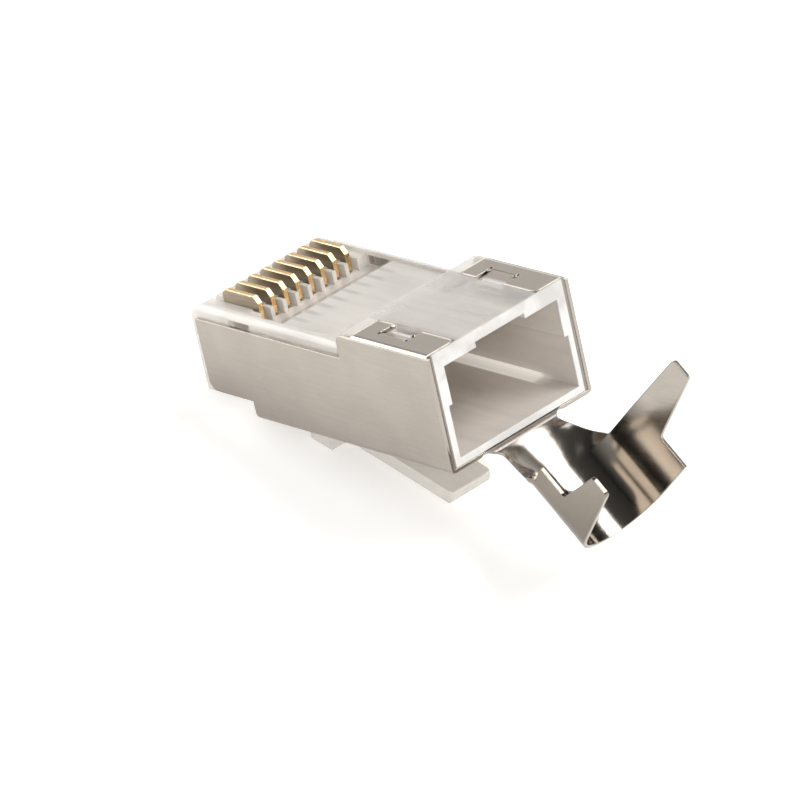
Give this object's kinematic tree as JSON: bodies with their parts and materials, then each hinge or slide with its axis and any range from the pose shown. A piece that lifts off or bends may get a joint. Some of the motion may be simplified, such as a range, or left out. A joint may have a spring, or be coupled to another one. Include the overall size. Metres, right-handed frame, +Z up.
{
  "type": "modular plug",
  "caption": "Shielded modular plug for a network cable: clear body with a sprung latch, a folded metal shield with an open cable clamp, and a row of contact blades.",
  "frame": {"origin": "middle of the bounding box, at the level of the surface that the plug lies on", "axes": "+X level, from the nose towards the cable; Y across the plug; +Z up. The plug lies on its latch, so its own long axis is 16.5 degrees nose down."},
  "size_m": [0.0342, 0.0116, 0.0141],
  "materials": {
    "clear_plastic": "gloss",
    "nickel": "satin",
    "gold": "gloss"
  },
  "bodies": {
    "body": {"housing": "clear_plastic", "shield": "nickel"},
    "latch": {"latch": "clear_plastic"},
    "contact_1": {"contact_1": "gold"},
    "contact_2": {"contact_2": "gold"},
    "contact_3": {"contact_3": "gold"},
    "contact_4": {"contact_4": "gold"},
    "contact_5": {"contact_5": "gold"},
    "contact_6": {"contact_6": "gold"},
    "contact_7": {"contact_7": "gold"},
    "contact_8": {"contact_8": "gold"}
  },
  "joints": [
    {"name": "latch_flex", "type": "hinge", "parent": "body", "child": "latch", "pos_m": [-0.01477, 0, 0.00185], "axis": [0, -1, 0], "range_deg": [0, 12], "stiffness_Nm_per_rad": 0.6},
    {"name": "contact_1_crimp", "type": "slide", "parent": "body", "child": "contact_1", "axis": [0.284, 0, -0.9588], "range_m": [0, 0.0012]},
    {"name": "contact_2_crimp", "type": "slide", "parent": "body", "child": "contact_2", "axis": [0.284, 0, -0.9588], "range_m": [0, 0.0012]},
    {"name": "contact_3_crimp", "type": "slide", "parent": "body", "child": "contact_3", "axis": [0.284, 0, -0.9588], "range_m": [0, 0.0012]},
    {"name": "contact_4_crimp", "type": "slide", "parent": "body", "child": "contact_4", "axis": [0.284, 0, -0.9588], "range_m": [0, 0.0012]},
    {"name": "contact_5_crimp", "type": "slide", "parent": "body", "child": "contact_5", "axis": [0.284, 0, -0.9588], "range_m": [0, 0.0012]},
    {"name": "contact_6_crimp", "type": "slide", "parent": "body", "child": "contact_6", "axis": [0.284, 0, -0.9588], "range_m": [0, 0.0012]},
    {"name": "contact_7_crimp", "type": "slide", "parent": "body", "child": "contact_7", "axis": [0.284, 0, -0.9588], "range_m": [0, 0.0012]},
    {"name": "contact_8_crimp", "type": "slide", "parent": "body", "child": "contact_8", "axis": [0.284, 0, -0.9588], "range_m": [0, 0.0012]}
  ]
}
